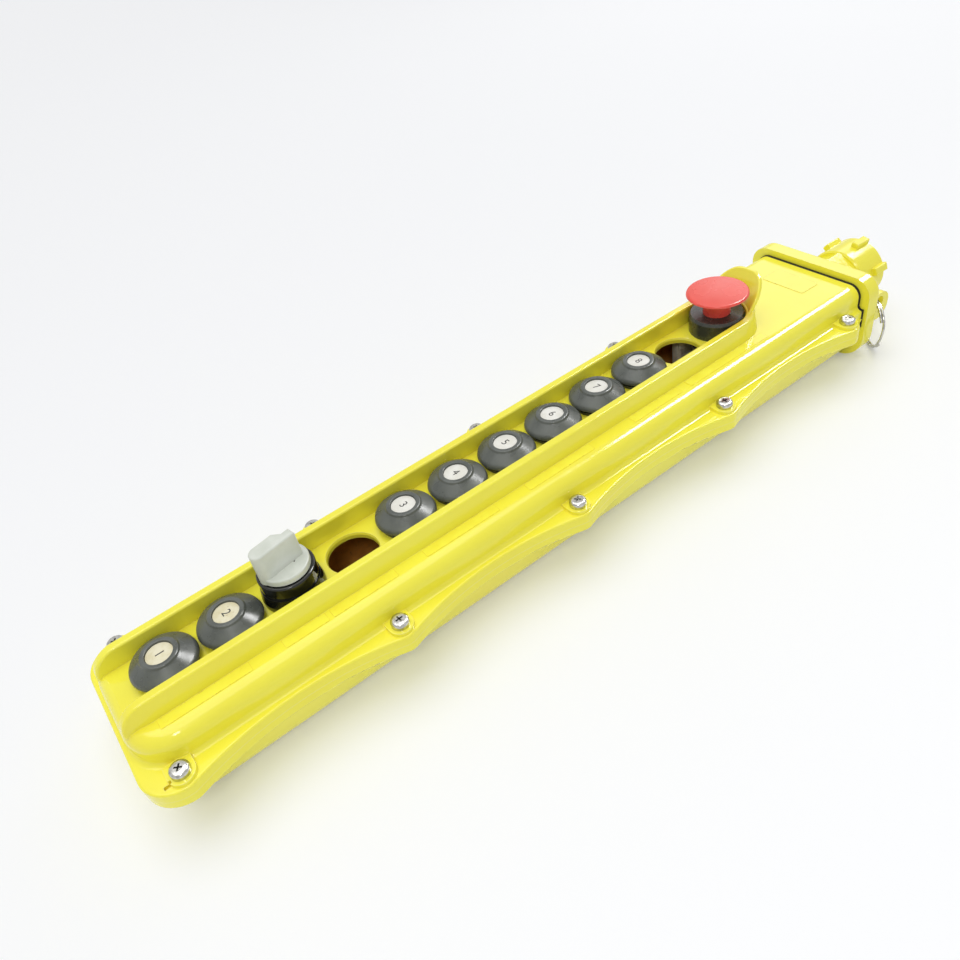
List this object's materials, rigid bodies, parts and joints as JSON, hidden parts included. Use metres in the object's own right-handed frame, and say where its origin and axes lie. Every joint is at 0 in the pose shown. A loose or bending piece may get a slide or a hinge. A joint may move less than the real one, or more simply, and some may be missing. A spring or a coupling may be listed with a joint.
{
  "type": "hoist pushbutton pendant",
  "caption": "Long two-part pendant station with a row of pushbuttons, a selector knob and a mushroom emergency stop in a railed trough, a cable gland and a hanging ring.",
  "frame": {"origin": "on the plane of the flat back, under the middle of the whole length and width", "axes": "+X along the row of stations to the cable gland, +Z out of the button face, +Y to the side without the ring"},
  "size_m": [0.4922, 0.0948, 0.0787],
  "materials": {
    "yellow_plastic": "moulded, semi gloss",
    "black_rubber": "matt",
    "charcoal_plastic": "satin",
    "white_plastic": "satin",
    "black_plastic": "glossy",
    "grey_plastic": "satin",
    "red_plastic": "semi gloss",
    "brown_fibre": "matt",
    "clear_tape": "glossy film",
    "steel": "bright plated",
    "brass": "turned"
  },
  "bodies": {
    "housing": {"front_shell": "yellow_plastic", "rear_shell": "yellow_plastic", "end_cap": "yellow_plastic", "gland_nut": "yellow_plastic", "shell_gasket": "black_rubber", "cap_gasket": "black_rubber", "gland_seal": "black_rubber", "gland_washer": "steel", "insulating_liner": "brown_fibre", "cover_screws": "steel", "screw_inserts": "brass", "label_strips": "clear_tape", "button_bezels": "black_plastic", "retaining_rings": "black_plastic", "operator_nuts": "black_plastic", "selector_bezel": "black_plastic", "estop_bezel": "black_plastic", "contact_blocks": "black_plastic", "estop_block": "white_plastic", "terminal_screws": "brass", "button_1_spring": "steel", "button_2_spring": "steel", "button_5_spring": "steel", "button_6_spring": "steel", "button_7_spring": "steel", "button_8_spring": "steel", "button_9_spring": "steel", "button_10_spring": "steel"},
    "button_1": {"button_1_cap": "charcoal_plastic", "button_1_label": "white_plastic", "button_1_plunger": "white_plastic"},
    "button_2": {"button_2_cap": "charcoal_plastic", "button_2_label": "white_plastic", "button_2_plunger": "white_plastic"},
    "button_5": {"button_5_cap": "charcoal_plastic", "button_5_label": "white_plastic", "button_5_plunger": "white_plastic"},
    "button_6": {"button_6_cap": "charcoal_plastic", "button_6_label": "white_plastic", "button_6_plunger": "white_plastic"},
    "button_7": {"button_7_cap": "charcoal_plastic", "button_7_label": "white_plastic", "button_7_plunger": "white_plastic"},
    "button_8": {"button_8_cap": "charcoal_plastic", "button_8_label": "white_plastic", "button_8_plunger": "white_plastic"},
    "button_9": {"button_9_cap": "charcoal_plastic", "button_9_label": "white_plastic", "button_9_plunger": "white_plastic"},
    "button_10": {"button_10_cap": "charcoal_plastic", "button_10_label": "white_plastic", "button_10_plunger": "white_plastic"},
    "selector": {"selector_knob": "grey_plastic", "selector_shaft": "steel"},
    "emergency_stop": {"estop_head": "red_plastic", "estop_stem": "steel"},
    "hanging_ring": {"split_ring": "steel"}
  },
  "joints": [
    {"name": "button_1_press", "type": "slide", "parent": "housing", "child": "button_1", "axis": [0, 0, -1], "range_m": [0, 0.003], "stiffness_N_per_m": 600, "springref_m": -0.0001, "deforming": ["button_1_spring"]},
    {"name": "button_2_press", "type": "slide", "parent": "housing", "child": "button_2", "axis": [0, 0, -1], "range_m": [0, 0.003], "stiffness_N_per_m": 600, "springref_m": -0.0001, "deforming": ["button_2_spring"]},
    {"name": "button_5_press", "type": "slide", "parent": "housing", "child": "button_5", "axis": [0, 0, -1], "range_m": [0, 0.003], "stiffness_N_per_m": 600, "springref_m": -0.0001, "deforming": ["button_5_spring"]},
    {"name": "button_6_press", "type": "slide", "parent": "housing", "child": "button_6", "axis": [0, 0, -1], "range_m": [0, 0.003], "stiffness_N_per_m": 600, "springref_m": -0.0001, "deforming": ["button_6_spring"]},
    {"name": "button_7_press", "type": "slide", "parent": "housing", "child": "button_7", "axis": [0, 0, -1], "range_m": [0, 0.003], "stiffness_N_per_m": 600, "springref_m": -0.0001, "deforming": ["button_7_spring"]},
    {"name": "button_8_press", "type": "slide", "parent": "housing", "child": "button_8", "axis": [0, 0, -1], "range_m": [0, 0.003], "stiffness_N_per_m": 600, "springref_m": -0.0001, "deforming": ["button_8_spring"]},
    {"name": "button_9_press", "type": "slide", "parent": "housing", "child": "button_9", "axis": [0, 0, -1], "range_m": [0, 0.003], "stiffness_N_per_m": 600, "springref_m": -0.0001, "deforming": ["button_9_spring"]},
    {"name": "button_10_press", "type": "slide", "parent": "housing", "child": "button_10", "axis": [0, 0, -1], "range_m": [0, 0.003], "stiffness_N_per_m": 600, "springref_m": -0.0001, "deforming": ["button_10_spring"]},
    {"name": "selector_turn", "type": "hinge", "parent": "housing", "child": "selector", "pos_m": [-0.1556, 0, 0.062], "axis": [0, 0, 1], "range_deg": [-55.5, 34.5]},
    {"name": "emergency_stop_press", "type": "slide", "parent": "housing", "child": "emergency_stop", "axis": [0, 0, -1], "range_m": [0, 0.006]},
    {"name": "ring_swing", "type": "hinge", "parent": "housing", "child": "hanging_ring", "pos_m": [0.2144, -0.0345, 0.03], "axis": [-0.5878, -0.809, 0], "range_deg": [0, 70]}
  ]
}
